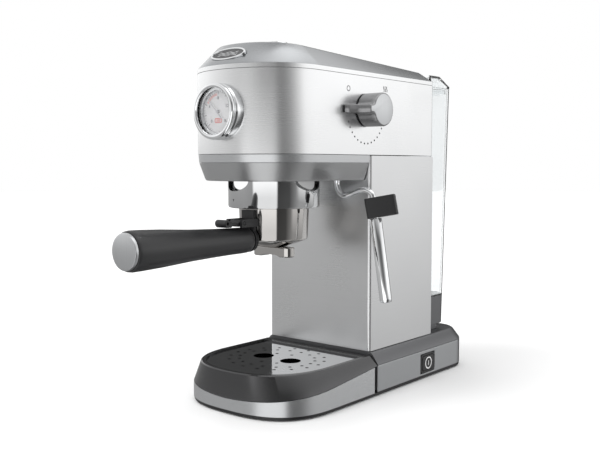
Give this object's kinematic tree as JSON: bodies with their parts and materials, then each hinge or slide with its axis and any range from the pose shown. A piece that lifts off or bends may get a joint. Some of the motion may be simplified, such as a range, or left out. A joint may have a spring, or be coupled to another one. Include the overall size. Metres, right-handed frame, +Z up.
{
  "type": "espresso machine",
  "caption": "Slim pump espresso machine with portafilter, gauge, steam knob and wand, drip tray, cup plate, push buttons and a clear lift-off rear water tank.",
  "frame": {"origin": "centre of the footprint box, on the table", "axes": "+Z up; -Y towards the user and the portafilter handle; +X towards the steam knob and wand"},
  "size_m": [0.1726, 0.4068, 0.3144],
  "materials": {
    "brushed_steel": "brushed",
    "chrome": "polished",
    "silver_paint": "satin",
    "graphite_plastic": "satin",
    "black_plastic": "satin",
    "rubber": "matte",
    "brass": "machined",
    "aluminium": "satin",
    "dial_white": "matte",
    "lens": "clear",
    "tank_clear": "clear",
    "circuit_board": "satin"
  },
  "bodies": {
    "machine": {"column_wrap": "brushed_steel", "head_wrap": "brushed_steel", "cup_plate": "brushed_steel", "shower_screen": "brushed_steel", "badge_plate": "chrome", "gauge_bezel": "chrome", "group_ring": "chrome", "base_panel_left": "silver_paint", "base_panel_right": "silver_paint", "head_trim_band": "silver_paint", "top_cover": "silver_paint", "base_rear_shell": "graphite_plastic", "head_lower_shell": "graphite_plastic", "column_back_plate": "graphite_plastic", "tank_plinth": "graphite_plastic", "base_pan": "black_plastic", "switch_housing": "black_plastic", "pump": "black_plastic", "gauge_case": "black_plastic", "foot_front_left": "rubber", "foot_front_right": "rubber", "foot_rear_left": "rubber", "foot_rear_right": "rubber", "cable_gland": "rubber", "supply_hose": "rubber", "pressure_hose": "rubber", "group_gasket": "rubber", "solenoid_valve": "brass", "group_head": "brass", "steam_valve_body": "brass", "column_frame": "aluminium", "thermoblock": "aluminium", "steam_feed_pipe": "aluminium", "steam_outlet_pipe": "aluminium", "gauge_dial": "dial_white", "gauge_lens": "lens", "control_board": "circuit_board"},
    "gauge_needle": {"gauge_pointer": "dial_white"},
    "steam_knob": {"steam_knob": "silver_paint", "knob_cap": "aluminium"},
    "portafilter": {"portafilter_cup": "chrome", "filter_basket": "brushed_steel", "spout": "chrome", "portafilter_neck": "black_plastic", "handle": "black_plastic", "handle_cap": "aluminium"},
    "basket_clip": {"basket_clip": "black_plastic"},
    "steam_wand": {"wand_tube": "chrome", "wand_grip": "black_plastic"},
    "wand_sleeve": {"wand_sleeve": "chrome"},
    "drip_tray": {"drip_tray": "graphite_plastic", "tray_band": "silver_paint"},
    "drip_grid": {"drip_grid": "brushed_steel"},
    "water_tank": {"water_tank": "tank_clear"},
    "tank_lid": {"tank_lid": "tank_clear"},
    "tank_valve": {"tank_valve": "black_plastic"},
    "power_button": {"power_button": "black_plastic"},
    "button_one_cup": {"button_one_cup": "chrome"},
    "button_two_cups": {"button_two_cups": "chrome"},
    "button_steam": {"button_steam": "chrome"}
  },
  "joints": [
    {"name": "gauge_needle_turn", "type": "hinge", "parent": "machine", "child": "gauge_needle", "pos_m": [-0.01638, -0.1062, 0.2557], "axis": [0, 1, 0], "range_deg": [-90, 175], "stiffness_Nm_per_rad": 0.001},
    {"name": "steam_knob_turn", "type": "hinge", "parent": "machine", "child": "steam_knob", "pos_m": [0.04362, 0.0203, 0.26], "axis": [1, 0, 0], "range_deg": [0, 215]},
    {"name": "portafilter_twist", "type": "hinge", "parent": "machine", "child": "portafilter", "pos_m": [-0.01638, -0.0352, 0.178], "axis": [0, 0, 1], "range_deg": [-45, 0]},
    {"name": "basket_clip_flip", "type": "hinge", "parent": "portafilter", "child": "basket_clip", "pos_m": [-0.01638, -0.0831, 0.1624], "axis": [-1, 0, 0], "range_deg": [0, 65]},
    {"name": "wand_swivel", "type": "hinge", "parent": "machine", "child": "steam_wand", "pos_m": [0.02422, 0.0043, 0.2065], "axis": [0, 0, 1], "range_deg": [-60, 30]},
    {"name": "wand_sleeve_slide", "type": "slide", "parent": "steam_wand", "child": "wand_sleeve", "axis": [0.1582, 0, -0.9874], "range_m": [0, 0.025]},
    {"name": "drip_tray_slide", "type": "slide", "parent": "machine", "child": "drip_tray", "axis": [0, -1, 0], "range_m": [0, 0.13]},
    {"name": "drip_grid_lift", "type": "slide", "parent": "drip_tray", "child": "drip_grid", "axis": [0, 0, 1], "range_m": [0, 0.03]},
    {"name": "water_tank_lift", "type": "slide", "parent": "machine", "child": "water_tank", "axis": [0, 0, 1], "range_m": [0, 0.12]},
    {"name": "tank_lid_open", "type": "hinge", "parent": "water_tank", "child": "tank_lid", "pos_m": [-0.01638, 0.1393, 0.3], "axis": [1, 0, 0], "range_deg": [0, 80]},
    {"name": "tank_valve_travel", "type": "slide", "parent": "water_tank", "child": "tank_valve", "axis": [0, 0, 1], "range_m": [0, 0.0025], "stiffness_N_per_m": 300},
    {"name": "power_button_press", "type": "slide", "parent": "machine", "child": "power_button", "axis": [-1, 0, 0], "range_m": [0, 0.0025], "stiffness_N_per_m": 300},
    {"name": "button_one_cup_press", "type": "slide", "parent": "machine", "child": "button_one_cup", "axis": [0, 0, -1], "range_m": [0, 0.0015], "stiffness_N_per_m": 300},
    {"name": "button_two_cups_press", "type": "slide", "parent": "machine", "child": "button_two_cups", "axis": [0, 0, -1], "range_m": [0, 0.0015], "stiffness_N_per_m": 300},
    {"name": "button_steam_press", "type": "slide", "parent": "machine", "child": "button_steam", "axis": [0, 0, -1], "range_m": [0, 0.0015], "stiffness_N_per_m": 300}
  ]
}
